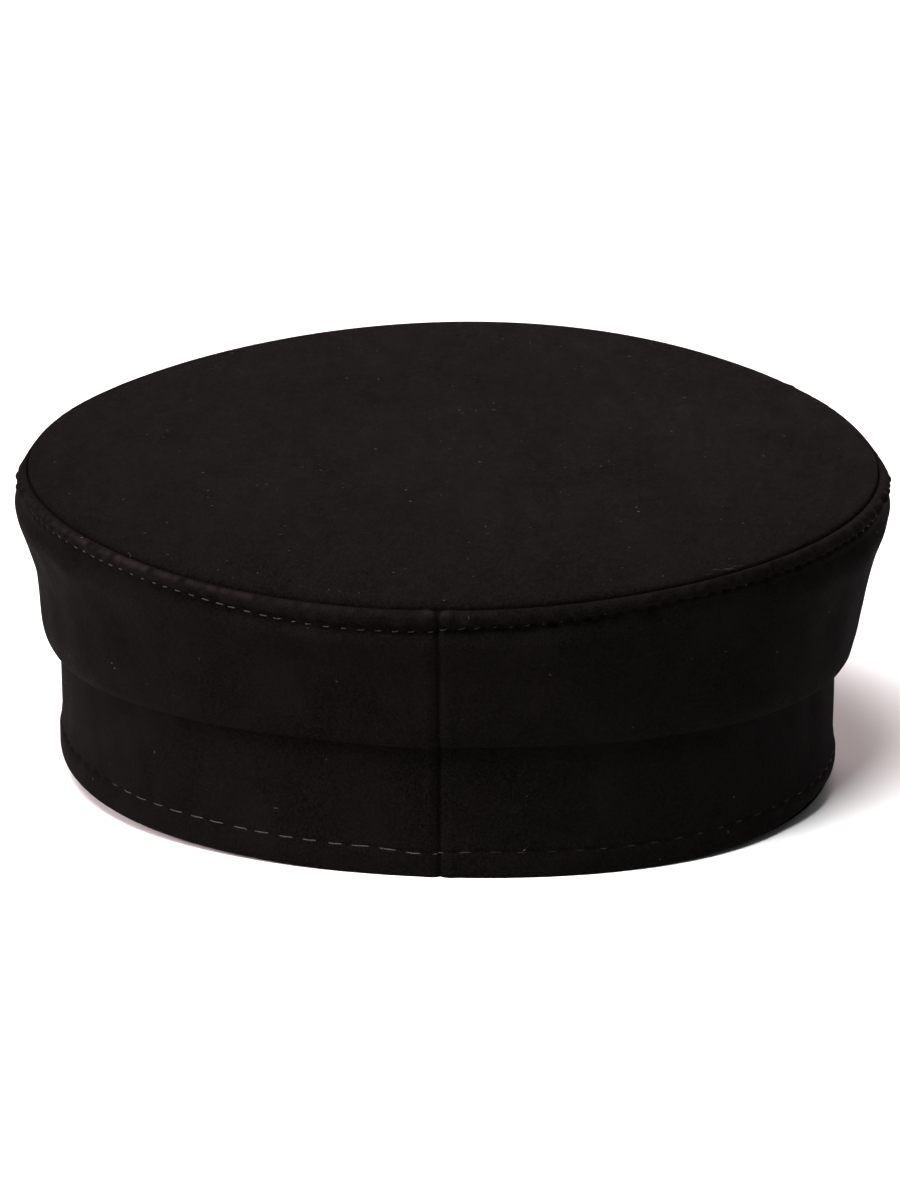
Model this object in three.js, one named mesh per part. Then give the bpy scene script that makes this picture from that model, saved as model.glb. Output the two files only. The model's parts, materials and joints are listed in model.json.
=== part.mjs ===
// A baker boy cap in soft dark cloth: a flat oval crown, a side panel that rolls over the crown's seam and folds
// over the head band, the head band itself with one seam at the centre back, and a short stiff peak.
// Millimetres, +Z up. The peak points to -Y and the back of the head is at +Y. The cap is shaped in its own frame,
// with the band's lower edge at z = 0 round the Z axis. It then settles on the floor, where it stands on the back of
// the band and on the peak's edge, and is centred over the origin.
import * as THREE from "three";

// Outlines from above. Each is a circle of `radius` changed by waves round the edge: oval is the change from side to
// front, skew the same along the diagonals, square and twist are the four-sided waves. shiftX moves it sideways, and
// turn swings it round by that many radians, which sets the crown's centre back over the band's.
const BAND_PLAN = { radius: 92.3, oval: -0.029, skew: -0.046, square: -0.01, twist: 0.004, shiftX: 0, turn: 0 };
const CROWN_PLAN = {
  radius: 97.9,
  oval: -0.022,
  skew: -0.012,
  square: 0.008,
  twist: -0.006,
  shiftX: -1.6,
  turn: -0.016,
};

// Heights above the band's lower edge.
const FOLD = { mean: 25, backRise: 6, sideRise: 0.6 }; // lower edge of the side panel's fold
const CROWN_SEAM = { mean: 68.1, slopeY: -0.048, slopeX: -0.003, arch: 0.75, skew: 0.4 }; // higher in front than behind
const CROWN_DOME = { rise: 2, backRise: 3 }; // how far the crown bulges over its edge, and how much more at the back

// Cloth.
const GAP = 0.3; // clearance between neighbouring pieces
const BAND_WALL = 2.4;
const BAND_TUCK = 5.4; // how far the band runs up behind the fold
const BAND_DRAW = { inset: 0.8, height: 9 }; // above its hem the band is drawn in
const CROWN_WALL = 2;
const CROWN_TURNING = { depth: 6, wall: 1.2 }; // the crown's edge, turned down inside the side panel
const HEM_ROUND = 0.3;
const BACK_SEAM = { depth: 0.6, halfDegrees: 0.5, outerDegrees: 1.4 };

// Peak.
const PEAK = { depth: 42, halfDegrees: 58, taper: 0.85, slope: 0.24, camber: 1.4, wall: 3, tuck: 2.4 };
const PEAK_END = { depth: 1.5, wall: 1.6 };

// Standing.
const SQUASH = 0.4; // how far the cloth flattens under the cap's own weight

// Fineness of the faceted skins.
const COLUMNS = 64;
const SIDE_STEPS = 17;
const PEAK_STEPS = 40;

const CLOTH = { color: 0x241e1e, roughness: 0.9, metalness: 0 };
const BACK = Math.PI / 2;
const FRONT = -Math.PI / 2;

// Side panel, outside, from the fold up to the seam. The height is fold + rise x (seam - fold) + lift, and the reach is
// lean x (from the band's face to the crown's seam) + puff outwards.
const SIDE_OUTSIDE = [
  { at: "fold edge", rise: 0, lift: 0, lean: 0, puff: 1.7 },
  { at: "curl", rise: 0, lift: 1.4, lean: 0.02, puff: 2.35 },
  { at: "belly", rise: 0, lift: 5, lean: 0.1, puff: 2.8 },
  { at: "waist", rise: 0.32, lift: 0, lean: 0.32, puff: 2.3 },
  { at: "middle", rise: 0.46, lift: 0, lean: 0.46, puff: 2.3 },
  { at: "swell", rise: 0.62, lift: 0, lean: 0.62, puff: 3 },
  { at: "shoulder", rise: 1, lift: -8.5, lean: 0.87, puff: 3.5 },
  { at: "stitch line", rise: 1, lift: -4.8, lean: 0.95, puff: 2.3 },
  { at: "ridge", rise: 1, lift: -2.3, lean: 1, puff: 2.8, slimmed: true },
  { at: "crest", rise: 1, lift: -0.7, lean: 1, puff: 1.2, slimmed: true },
  { at: "seam", rise: 1, lift: -1.4, lean: 1, puff: 0 },
];

// How much less the ridge stands out at the front than at the back, and just in front of the sides, as shares.
const RIDGE_SLIM = { front: 0.35, sides: 0.65 };

// Side panel, inside, from the seam down to the fold, in the same terms.
const SIDE_INSIDE = [
  { at: "turning's foot", rise: 1, lift: -6.6, lean: 1, puff: 0 },
  { at: "swell", rise: 0.62, lift: 0, lean: 0.62, puff: 0.8 },
  { at: "middle", rise: 0.46, lift: 0, lean: 0.46, puff: 0.1 },
  { at: "waist", rise: 0.32, lift: 0, lean: 0.32, puff: 0.1 },
  { at: "top of the band's seam", rise: 0, lift: 8.2, lean: 0, puff: 0.6 },
  { at: "seam allowance, above", rise: 0, lift: 7.4, lean: 0, puff: -BAND_WALL - BAND_DRAW.inset },
  { at: "seam allowance, below", rise: 0, lift: BAND_TUCK + GAP, lean: 0, puff: -BAND_WALL - BAND_DRAW.inset },
  { at: "inside the curl", rise: 0, lift: BAND_TUCK + GAP, lean: 0, puff: 0.9 },
  { at: "inside the fold", rise: 0, lift: 0.7, lean: 0, puff: GAP - BAND_DRAW.inset },
];

// ---------------------------------------------------------------- outlines and heights

const outward = (angle) => new THREE.Vector3(Math.cos(angle), Math.sin(angle), 0);

function planPoint(plan, angle, inset = 0) {
  const turned = angle + plan.turn;
  const waves = plan.oval * Math.cos(2 * turned) + plan.skew * Math.sin(2 * turned);
  const corners = plan.square * Math.cos(4 * turned) + plan.twist * Math.sin(4 * turned);
  const point = outward(turned).multiplyScalar(plan.radius * (1 + waves + corners) - inset);
  point.x += plan.shiftX;
  return point;
}

const foldHeight = (angle) => FOLD.mean + FOLD.backRise * Math.sin(angle) + FOLD.sideRise * Math.cos(2 * angle);

function seamHeight({ x, y }) {
  const arch = (CROWN_SEAM.arch * (y * y - x * x) + CROWN_SEAM.skew * 2 * x * y) / CROWN_PLAN.radius ** 2;
  return CROWN_SEAM.mean + CROWN_SEAM.slopeY * y + CROWN_SEAM.slopeX * x + arch;
}

// Height of the crown over its seam's level at a share of the way out from its middle to its edge.
function domeHeight(y, share) {
  const towardsBack = 0.5 + (0.5 * y) / CROWN_PLAN.radius;
  return CROWN_DOME.rise * (1 - share ** 4) + CROWN_DOME.backRise * towardsBack * (1 - share ** 3);
}

// How far the centre back seam pulls the cloth in at an angle.
function seamPull(angle) {
  const off = Math.abs(THREE.MathUtils.radToDeg(angle - BACK));
  return BACK_SEAM.depth * Math.max(0, 1 - off / BACK_SEAM.halfDegrees);
}

// Angles round the cap, with a few more beside the centre back seam.
function roundAngles() {
  const even = Array.from({ length: COLUMNS }, (_, i) => FRONT + (i * 2 * Math.PI) / COLUMNS);
  const { halfDegrees, outerDegrees } = BACK_SEAM;
  const beside = [-outerDegrees, -halfDegrees, halfDegrees, outerDegrees];
  const extra = beside.map((degrees) => BACK + THREE.MathUtils.degToRad(degrees));
  return [...even, ...extra].sort((a, b) => a - b);
}

// ---------------------------------------------------------------- skins

// Triangles between neighbouring rows of points. Both directions can close on themselves.
function gridTriangles(rows, columns, closeRows, closeColumns) {
  const triangles = [];
  for (let row = 0; row < (closeRows ? rows : rows - 1); row++) {
    for (let column = 0; column < (closeColumns ? columns : columns - 1); column++) {
      const nextRow = (row + 1) % rows;
      const nextColumn = (column + 1) % columns;
      const [a, b] = [row * columns + column, row * columns + nextColumn];
      const [c, d] = [nextRow * columns + column, nextRow * columns + nextColumn];
      triangles.push(a, c, d, a, d, b);
    }
  }
  return triangles;
}

function geometryOf(points, triangles) {
  const geometry = new THREE.BufferGeometry();
  geometry.setFromPoints(points);
  geometry.setIndex(triangles);
  geometry.computeVertexNormals();
  return geometry;
}

// A ring whose section at each angle is a closed loop of points, running up the outside and down the inside.
function ringGeometry(sectionAt) {
  const sections = roundAngles().map(sectionAt);
  const triangles = gridTriangles(sections.length, sections[0].length, true, true);
  return geometryOf(sections.flat(), triangles);
}

// A disc whose profile at each angle runs from the middle of its top, over the edge, to the middle underneath.
function discGeometry(profileAt, top, bottom) {
  const profiles = roundAngles().map(profileAt);
  const [rows, columns] = [profiles.length, profiles[0].length];
  const triangles = gridTriangles(rows, columns, true, false).map((_, i, all) => all[i - (i % 3) + 2 - (i % 3)]);
  const points = [...profiles.flat(), top, bottom];
  for (let row = 0; row < rows; row++) {
    const next = (row + 1) % rows;
    triangles.push(points.length - 2, row * columns, next * columns);
    triangles.push(points.length - 1, (next + 1) * columns - 1, (row + 1) * columns - 1);
  }
  return geometryOf(points, triangles);
}

// A bar whose section is a closed loop at each station, with a flat cap at each end.
function barGeometry(sections) {
  const [rows, columns] = [sections.length, sections[0].length];
  const triangles = gridTriangles(rows, columns, false, true);
  const last = (rows - 1) * columns;
  for (let column = 1; column < columns - 1; column++) {
    triangles.push(0, column, column + 1);
    triangles.push(last, last + column + 1, last + column);
  }
  return geometryOf(sections.flat(), triangles);
}

// ---------------------------------------------------------------- pieces, in the cap's own frame

function ridgeSlim(angle) {
  const forward = -Math.sin(angle);
  const front = THREE.MathUtils.clamp(3 * forward, 0, 1);
  const sides = Math.exp(-(((forward - 0.28) / 0.18) ** 2));
  return RIDGE_SLIM.front * front + RIDGE_SLIM.sides * sides;
}

function sidePoint(angle, { rise, lift, lean, puff, slimmed }) {
  const low = planPoint(BAND_PLAN, angle);
  const high = planPoint(CROWN_PLAN, angle);
  const foot = foldHeight(angle);
  const reach = slimmed ? puff * (1 - ridgeSlim(angle)) : puff;
  const point = low.clone().lerp(high, lean).addScaledVector(outward(angle), reach);
  point.z = foot + rise * (seamHeight(high) - foot) + lift;
  return point;
}

function sidePanel() {
  return ringGeometry((angle) => {
    const shape = new THREE.CatmullRomCurve3(SIDE_OUTSIDE.map((row) => sidePoint(angle, row)));
    const outside = shape.getPoints(SIDE_STEPS);
    for (const point of outside.slice(1, -1)) point.addScaledVector(outward(angle), -seamPull(angle));
    return [...outside, ...SIDE_INSIDE.map((row) => sidePoint(angle, row))];
  });
}

function headBand() {
  return ringGeometry((angle) => {
    const top = foldHeight(angle) + BAND_TUCK;
    const at = (inset, height) => planPoint(BAND_PLAN, angle, inset).setZ(height);
    const pulled = seamPull(angle);
    const drawn = BAND_DRAW.inset;
    return [
      at(HEM_ROUND + pulled, 0),
      at(pulled, HEM_ROUND),
      at(drawn + pulled, BAND_DRAW.height),
      at(drawn + pulled, top),
      at(drawn + BAND_WALL, top),
      at(drawn + BAND_WALL, BAND_DRAW.height),
      at(BAND_WALL, HEM_ROUND),
      at(BAND_WALL - HEM_ROUND, 0),
    ];
  });
}

function crownTop() {
  const rings = [0.3, 0.55, 0.75, 0.88, 0.96];
  const { depth, wall } = CROWN_TURNING;
  const middle = new THREE.Vector3(CROWN_PLAN.shiftX, 0, 0);
  const onSeam = (angle, inset, height) => {
    const point = planPoint(CROWN_PLAN, angle, inset);
    return point.setZ(seamHeight(point) + height);
  };
  const onDome = (angle, share, height) => {
    const point = middle.clone().lerp(planPoint(CROWN_PLAN, angle), share);
    return point.setZ(seamHeight(point) + domeHeight(point.y, share) + height);
  };
  const profileAt = (angle) => [
    ...rings.map((share) => onDome(angle, share, 0)),
    onSeam(angle, GAP + 0.8, -0.2),
    onSeam(angle, GAP, -1),
    onSeam(angle, GAP, -depth),
    onSeam(angle, GAP + wall, -depth),
    onSeam(angle, GAP + wall, -1 - CROWN_WALL),
    ...rings.slice(0, -1).reverse().map((share) => onDome(angle, share, -CROWN_WALL)),
  ];
  const height = seamHeight(middle) + domeHeight(0, 0);
  return discGeometry(profileAt, middle.clone().setZ(height), middle.clone().setZ(height - CROWN_WALL));
}

// The peak's section at an angle from the front: flat under the band, out along the top, round the edge and back.
function peakSection(turn) {
  const share = Math.min(Math.abs(turn) / THREE.MathUtils.degToRad(PEAK.halfDegrees), 1);
  const width = Math.max(Math.cos((share * Math.PI) / 2), 0) ** PEAK.taper;
  const depth = THREE.MathUtils.lerp(PEAK_END.depth, PEAK.depth, width);
  const wall = THREE.MathUtils.lerp(PEAK_END.wall, PEAK.wall, width);
  const seat = planPoint(BAND_PLAN, FRONT + turn, 0);
  const at = (along, below) => {
    const arch = PEAK.camber * width * 4 * along * (1 - along);
    const point = seat.clone().addScaledVector(outward(FRONT + turn), depth * along);
    return point.setZ(arch - GAP - PEAK.slope * depth * along - below);
  };
  const tuck = (below) => planPoint(BAND_PLAN, FRONT + turn, PEAK.tuck).setZ(-GAP - below);
  const edge = 1 - Math.min((0.3 * wall) / depth, 0.2);
  const steps = [0, 0.25, 0.5, 0.75, edge];
  const top = steps.map((along) => at(along, 0));
  const underside = steps.map((along) => at(along, wall));
  return [tuck(0), ...top, at(1, wall / 2), ...underside.reverse(), tuck(wall)];
}

function peak() {
  const half = THREE.MathUtils.degToRad(PEAK.halfDegrees);
  const turns = Array.from({ length: PEAK_STEPS + 1 }, (_, i) => half - (i * 2 * half) / PEAK_STEPS);
  return barGeometry(turns.map(peakSection));
}

// ---------------------------------------------------------------- assembly

// Leans the cap back until the band's back and the peak's edge stand on one floor, where the cloth flattens a little.
function settle(geometry) {
  const back = planPoint(BAND_PLAN, BACK);
  const tip = peakSection(0).reduce((low, point) => (point.z < low.z ? point : low));
  const lean = Math.atan2(-tip.z, back.y - tip.y);
  geometry.applyMatrix4(new THREE.Matrix4().makeRotationX(-lean));
  const floor = -back.y * Math.sin(lean) + SQUASH;
  const places = geometry.getAttribute("position");
  for (let i = 0; i < places.count; i++) places.setZ(i, Math.max(places.getZ(i) - floor, 0));
  geometry.computeVertexNormals();
  return geometry;
}

function piece(name, geometry) {
  const mesh = new THREE.Mesh(settle(geometry), new THREE.MeshStandardMaterial(CLOTH));
  mesh.name = name;
  return mesh;
}

const cap = new THREE.Group();
cap.add(piece("crown_top", crownTop()));
cap.add(piece("side_panel", sidePanel()));
cap.add(piece("head_band", headBand()));
cap.add(piece("peak", peak()));

const middle = new THREE.Box3().setFromObject(cap).getCenter(new THREE.Vector3());
cap.position.set(-middle.x, -middle.y, 0);

export default cap;
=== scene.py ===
# The looks of the baker boy cap: fine cloth shells over the CAD solids, topstitching, lint, materials, light
# and camera. Shapes are worked out in millimetres in the cap's own frame, with the band's lower edge at z = 0
# round the Z axis and the back of the head at +Y. They are then placed in metres, as the head_opening mount
# of the record says. Angles run round the Z axis from +X. Left and right are as seen from behind, so left is
# at +X.
import json
import math
from collections import namedtuple

import bpy
import numpy as np
from mathutils import Matrix, Vector


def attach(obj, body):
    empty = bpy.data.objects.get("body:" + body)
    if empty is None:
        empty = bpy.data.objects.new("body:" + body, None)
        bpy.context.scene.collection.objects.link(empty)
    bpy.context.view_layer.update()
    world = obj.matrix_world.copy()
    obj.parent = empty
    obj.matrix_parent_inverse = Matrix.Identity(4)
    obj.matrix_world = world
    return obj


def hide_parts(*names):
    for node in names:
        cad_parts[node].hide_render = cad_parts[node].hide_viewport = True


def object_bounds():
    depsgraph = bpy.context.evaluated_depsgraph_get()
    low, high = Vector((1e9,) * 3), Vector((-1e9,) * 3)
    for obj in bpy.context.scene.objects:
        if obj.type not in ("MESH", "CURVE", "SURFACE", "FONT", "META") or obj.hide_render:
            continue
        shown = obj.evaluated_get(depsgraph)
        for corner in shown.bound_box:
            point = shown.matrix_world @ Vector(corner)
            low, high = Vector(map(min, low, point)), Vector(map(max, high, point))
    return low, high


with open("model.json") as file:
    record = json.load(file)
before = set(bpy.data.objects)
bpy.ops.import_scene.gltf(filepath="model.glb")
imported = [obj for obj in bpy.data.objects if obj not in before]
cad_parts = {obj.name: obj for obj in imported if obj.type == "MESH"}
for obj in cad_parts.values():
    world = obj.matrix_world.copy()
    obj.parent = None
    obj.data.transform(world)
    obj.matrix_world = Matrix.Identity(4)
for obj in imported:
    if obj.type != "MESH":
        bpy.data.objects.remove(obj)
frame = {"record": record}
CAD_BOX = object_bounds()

MM = 0.001
BACK = math.pi / 2
FRONT = -math.pi / 2

# ---------------------------------------------------------------- driving sizes, in millimetres

# Outlines from above: a circle changed by waves round the edge, as in part.mjs.
Outline = namedtuple("Outline", "radius oval skew square twist shift_x turn")
BAND_PLAN = Outline(92.3, -0.029, -0.046, -0.010, 0.004, 0.0, 0.0)
CROWN_PLAN = Outline(97.9, -0.022, -0.012, 0.008, -0.006, -1.6, -0.016)
# About how far the cloth of each is from the head's axis at the back.
BAND_BACK_REACH, CROWN_BACK_REACH = 94, 98

# Heights of the side panel's fold and of the crown's seam, which both change round the cap. The fold steps up
# at the back over a width in radians, and round an angle in degrees with a spread in radians.
FOLD_MEAN, FOLD_BACK_RISE, FOLD_SIDE_RISE = 25.0, 6.0, 0.6
FOLD_STEP, FOLD_STEP_DEGREES, FOLD_STEP_SPREAD, FOLD_STEP_WIDTH = 0.45, 104, 0.5, 0.02
SEAM_MEAN, SEAM_SLOPE_Y, SEAM_SLOPE_X, SEAM_ARCH, SEAM_SKEW = 68.12, -0.048, -0.003, 0.75, 0.4
SEAM_WANDER, SEAM_WANDER_DEGREES = 0.25, 28
CROWN_RISE, CROWN_BACK_RISE = 2.0, 3.0

GAP = 0.3
BAND_WALL = 2.4
BAND_TUCK = 5.4
BAND_DRAW = 0.8
HEM_ROUND = 1.1
HEM_TUCK, HEM_TUCK_DEGREES, HEM_TUCK_SPREAD, HEM_TUCK_HEIGHT = 1.9, 151, 0.3, 5.5
CROWN_WALL = 2.0
TURNING_DEPTH, TURNING_WALL = 6.0, 1.2

PEAK_DEPTH, PEAK_HALF_DEGREES, PEAK_TAPER = 42.0, 58.0, 0.85
PEAK_SLOPE, PEAK_CAMBER, PEAK_WALL, PEAK_TUCK = 0.24, 1.4, 3.0, 2.4
PEAK_END_DEPTH, PEAK_END_WALL = 1.5, 1.6

# Side panel, outside, from the fold up to the seam, as in part.mjs.
SideRow = namedtuple("SideRow", "rise lift lean puff")
SIDE_OUTSIDE = [
    SideRow(0, 0, 0, 1.7),  # fold edge
    SideRow(0, 1.4, 0.02, 2.35),  # curl
    SideRow(0, 5, 0.1, 2.8),  # belly
    SideRow(0.32, 0, 0.32, 2.3),  # waist
    SideRow(0.46, 0, 0.46, 2.3),  # middle
    SideRow(0.62, 0, 0.62, 3),  # swell
    SideRow(1, -8.5, 0.87, 3.5),  # shoulder
    SideRow(1, -4.9, 0.95, 2.3),  # stitch line
    SideRow(1, -3.3, 0.98, 2.95),  # under the ridge
    SideRow(1, -1.9, 1, 2.95),  # ridge
    SideRow(1, -1.1, 1, 2.15),  # its upper face
    SideRow(1, -0.75, 1, 1.15),  # crest
    SideRow(1, -0.9, 1, 0.5),  # lip
    SideRow(1, -1.45, 1, -0.1),  # seam, down in the groove
]
CREST_ROW = 11

# Side panel, inside, from the seam down to the fold.
SIDE_INSIDE = [
    SideRow(1, -6.6, 1, 0),
    SideRow(0.62, 0, 0.62, 0.8),
    SideRow(0.46, 0, 0.46, 0.1),
    SideRow(0.32, 0, 0.32, 0.1),
    SideRow(0, 8.2, 0, 0.6),
    SideRow(0, 7.4, 0, -BAND_WALL - BAND_DRAW),
    SideRow(0, BAND_TUCK + GAP, 0, -BAND_WALL - BAND_DRAW),
    SideRow(0, BAND_TUCK + GAP, 0, 0.9),
    SideRow(0, 0.7, 0, GAP - BAND_DRAW),
]

# The ridge. Rows at the seam with more than the first lift belong to it, and with more than the second to its
# crest. It stands out less in front, and least just in front of the sides. Its crest is raised at the sides
# and on the right, and the groove behind it at the sides.
RIDGE_LIFT, CREST_LIFT = -4, -1.5
RIDGE_SLIM, RIDGE_PINCH, RIDGE_PINCH_FORWARD, RIDGE_PINCH_SPREAD = 0.35, 0.65, 0.14, 0.2
CREST_SIDE_RISE, GROOVE_SIDE_RISE = 0.35, 0.3
CREST_RIGHT_RISE, CREST_RIGHT_DEGREES, CREST_RIGHT_SPREAD = 0.4, 142, 35

# The waist is drawn in on the left and out on the right, at a share of the way up. The free cloth's waves
# fade out towards the crest, and in part towards the fold.
WAIST_SHIFT, WAIST_UP, WAIST_SPREAD = 0.7, 0.42, 0.25
FADE_TO_CREST, FADE_TO_FOLD, LEFT_AT_FOLD = 12, 3, 0.25

# Centre back seam: a narrow groove with soft shoulders, and two turned edges beside it that stand proud.
GROOVE_DEPTH, GROOVE_WIDTH = 0.6, 0.4
SHOULDER_DEPTH, SHOULDER_WIDTH = 0.2, 1.0
TURNED_EDGE_PROUD, TURNED_EDGE_AWAY, TURNED_EDGE_WIDTH = 0.25, 2.3, 1.5
# It cuts deeper into the ridge, at a distance below the crest.
RIDGE_NOTCH, RIDGE_NOTCH_DOWN, RIDGE_NOTCH_WIDTH = 0.7, 1.9, 1.7

# Topstitching: distance from one stitch to the next, length of thread that shows, the share by which lengths
# differ, how far a stitch slants from end to end, and the thread's thickness.
Stitching = namedtuple("Stitching", "pitch length uneven slant thickness")
CROWN_STITCH = Stitching(3.82, 1.8, 0.3, 0.26, 0.36)
BAND_STITCH = Stitching(6.0, 4.4, 0.12, 0.1, 0.3)
PEAK_STITCH = Stitching(4.2, 2.6, 0.1, 0.1, 0.3)
CROWN_STITCH_DROP, CROWN_STITCH_STEP = 4.35, 0.25
CROWN_STITCH_SAG, CROWN_STITCH_SAG_DEGREES, CROWN_STITCH_SAG_SPREAD = 1.75, 82, 30
BAND_STITCH_HEIGHT, BAND_STITCH_TILT, BAND_STITCH_DIP = 6.1, 0.35, 0.8
PEAK_STITCH_INSET, PEAK_STITCH_DEPTH, PEAK_GROOVE_WIDTH = 5.0, 0.3, 0.8

# Where the nap has closed over the topstitching: round an angle on the left, and from an angle on at the
# right, by that share. Then how deep the thread lies in the open, and how much deeper under the nap.
Cover = namedtuple("Cover", "left right_from right_much lie sink")
CROWN_COVER = Cover(6, 89.6, 1.0, 0.0, 0.23)
BAND_COVER = Cover(16, 87, 0.74, 0.06, 0.125)
# In degrees: over how much it starts on the right, the middle and spread of that side, and the left's spread.
COVER_STARTS_OVER, COVER_RIGHT_MIDDLE, COVER_RIGHT_SPREAD, COVER_LEFT_SPREAD = 5, 130, 45, 22

# Pin-pricks between one stitch and the next: their mean depth, how far that changes from a stitch to the gap
# beside it, how much more of both there is where the nap covers the thread, and their width.
Pricks = namedtuple("Pricks", "depth change covered width")
CROWN_PRICKS = Pricks(0.2, 0.12, 0.2, 0.45)
BAND_PRICKS = Pricks(0.22, 0.1, 0.1, 0.55)

# How else topstitching shapes the cloth: how far, how much further where it is pulled tight on the right, how
# far above the stitches, and over what width. It holds the cloth in, and raises lumps and slanting tugs.
Pull = namedtuple("Pull", "size tight above width")
CROWN_HELD = Pull(0.85, 0, 0.5, 1.1)
BAND_HELD = Pull(0.1, 0, 0, 1.3)
CROWN_LUMPS = Pull(0.2, 0.12, 2.4, 1.3)
CROWN_TUGS = Pull(0.1, 0.11, 1.2, 1.2)
# How far the tugs shift along the stitches' beat, in radians for each millimetre above them.
TUG_SLANT = 0.9
# The right end is pulled less tight, round an angle in degrees.
SLACKER, SLACKER_DEGREES, SLACKER_SPREAD = 0.5, 185, 18

# Waves round the cap: their size, a seed, how many go round in each, and the height over which they change.
Waves = namedtuple("Waves", "size seed counts tall", defaults=[1])
PANEL_WAVES = [Waves(0.35, 5, (5, 8, 11, 14), 55), Waves(0.1, 6, (23, 31, 37), 22)]
BAND_WAVES = [Waves(0.22, 21, (4, 7, 9, 13), 60), Waves(0.07, 22, (29, 41, 53), 18)]
RIDGE_LUMPS = Waves(1, 3, (47, 61, 83, 97, 118, 140))
CROWN_STITCH_WANDER = Waves(0.1, 31, (3, 7, 11))
BAND_STITCH_WANDER = Waves(0.08, 41, (5, 9, 13))
CROWN_WAVE_SIZE, CROWN_WAVE_SEED, CROWN_WAVE_LENGTHS = 0.28, 11, (120, 90, 70, 52)

# Where the ridge's upper face is painted paler, for nap rubbed pale and for a painted highlight where light
# falls,
# at a distance below the crest: in patches, most of all round an angle in degrees, and in two places beside
# the back seam, where its proud turned edges get a painted highlight, at their distances from it and of their
# widths.
WORN_HIGHLIGHT_PATCHES, WORN_HIGHLIGHT_LEVEL = Waves(0.28, 71, (23, 37, 59, 83, 131, 190)), 0.42
WORN_HIGHLIGHT_LEAST, WORN_HIGHLIGHT_MORE, WORN_HIGHLIGHT_DEGREES, WORN_HIGHLIGHT_SPREAD = 0.12, 0.88, 48, 26
WORN_HIGHLIGHT_DOWN, WORN_HIGHLIGHT_HEIGHT = 1.0, 0.8
WORN_HIGHLIGHT_BY_SEAM = 0.5
WORN_HIGHLIGHT_LEFT_AT, WORN_HIGHLIGHT_LEFT_WIDTH = -1.8, 1.1
WORN_HIGHLIGHT_RIGHT, WORN_HIGHLIGHT_RIGHT_AT, WORN_HIGHLIGHT_RIGHT_WIDTH = 0.5, 1.7, 0.8

# Lint: lengths, thicknesses and curl of its fibres, how far above the floor it starts, and how many lie on
# each piece.
FLUFF_LENGTHS, FLUFF_THICKNESS = (0.25, 0.8), (0.08, 0.18)
FLUFF_CLEAR_OF_FLOOR, FLUFF_CURL, FLUFF_SEED = 1.0, 0.4, 51
FLUFF_COUNTS = {"crown_top_cloth": 240, "side_panel_cloth": 90, "head_band_cloth": 55, "peak_cloth": 10}
# One tuft of it beside the crown's seam: its angle, and its spread in radians, its distance in from the seam
# and how far it reaches in and up from there. Then how many fibres it has, and how much longer and thinner.
TUFT_DEGREES, TUFT_SPREAD, TUFT_INSET, TUFT_DEPTH, TUFT_RISE = 128.5, 0.022, 0.2, 0.7, 0.5
TUFT_COUNT, TUFT_LONGER, TUFT_THINNER = 20, 2.5, 0.45

# How fine the meshes are: columns round each piece and beside the back seam, rows of the side panel, with the
# steps and reaches of the closest ones below its crest, and the rings and sides of threads and lint.
PANEL_COLUMNS, BAND_COLUMNS, CROWN_COLUMNS, PEAK_COLUMNS = 1100, 1000, 720, 260
SEAM_COLUMNS, SEAM_SPREAD = 24, 0.05
CURVE_STEPS, CREST_ROWS, LOWER_ROWS = 24, 8, 26
FINEST_FROM, FINEST_STEP, FINEST_REACH, FINE_STEP, FINE_REACH = 0.12, 0.22, 6.5, 0.75, 12.5
THREAD_RINGS, THREAD_SIDES = 9, 8
FLUFF_RINGS, FLUFF_SIDES = 6, 5
SHARP_DEGREES = 50

# Camera, in the cap's own frame: angles, distance, lens, and the point of the head's axis it looks at.
CAMERA_YAW, CAMERA_RISE, CAMERA_ROLL = math.radians(-0.9), math.radians(17.0), math.radians(0.3)
CAMERA_DISTANCE, CAMERA_LENS, CAMERA_SENSOR = 1500.0, 197.4, 36
AIM_HEIGHT, AIM_RIGHT, AIM_DOWN = 35.3, 1.03, 0.87

# Square softboxes, in metres and watts.
Softbox = namedtuple("Softbox", "azimuth elevation size power colour")
LIGHTS = {
    "key": Softbox(158, 60, 0.7, 35.5, (1, 1, 1)),
    "side": Softbox(112, 21, 0.6, 18.5, (1, 0.84, 0.83)),
    "behind": Softbox(356, 31, 0.7, 7.9, (1, 0.77, 0.77)),
    "rim": Softbox(340, 15, 0.5, 1.0, (1, 1, 1)),
}
LIGHT_DISTANCE, LIGHT_AIM_HEIGHT, WORLD_STRENGTH = 1.2, 0.04, 0.135
FLOOR_HALF = 6.0

# ---------------------------------------------------------------- placing

MOUTH = next(m for m in frame["record"]["mounts"] if m["name"] == "head_opening")
LEAN = math.atan2(-MOUTH["axis"][1], -MOUTH["axis"][2])
ORIGIN = np.array(MOUTH["pos_m"])


def place(points):
    """Points of the cap's own frame, in millimetres, put in the row frame, in metres and above the floor."""
    turn = np.array([[1, 0, 0], [0, math.cos(LEAN), math.sin(LEAN)], [0, -math.sin(LEAN), math.cos(LEAN)]])
    placed = np.asarray(points) @ turn.T * MM + ORIGIN
    placed[..., 2] = np.maximum(placed[..., 2], 0)
    return placed


# ---------------------------------------------------------------- small unevenness of cloth


def bell(distance, width):
    return np.exp(-((distance / width) ** 2))


def near(angle, degrees, spread_degrees):
    """1 at an angle, and less and less away from it."""
    return bell(angle - math.radians(degrees), math.radians(spread_degrees))


def ripples(angle, height, waves):
    """Soft waves round the cap, which also change with height."""
    rng = np.random.default_rng(waves.seed)
    total = np.zeros(np.broadcast(angle, height).shape)
    for count in waves.counts:
        phase, turn, size = rng.uniform(0, 2 * math.pi), rng.uniform(-1, 1), rng.uniform(0.6, 1)
        total += size * np.sin(count * angle + phase + turn * height * 2 * math.pi / waves.tall)
    return waves.size * (total / math.sqrt(len(waves.counts) / 2))


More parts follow.
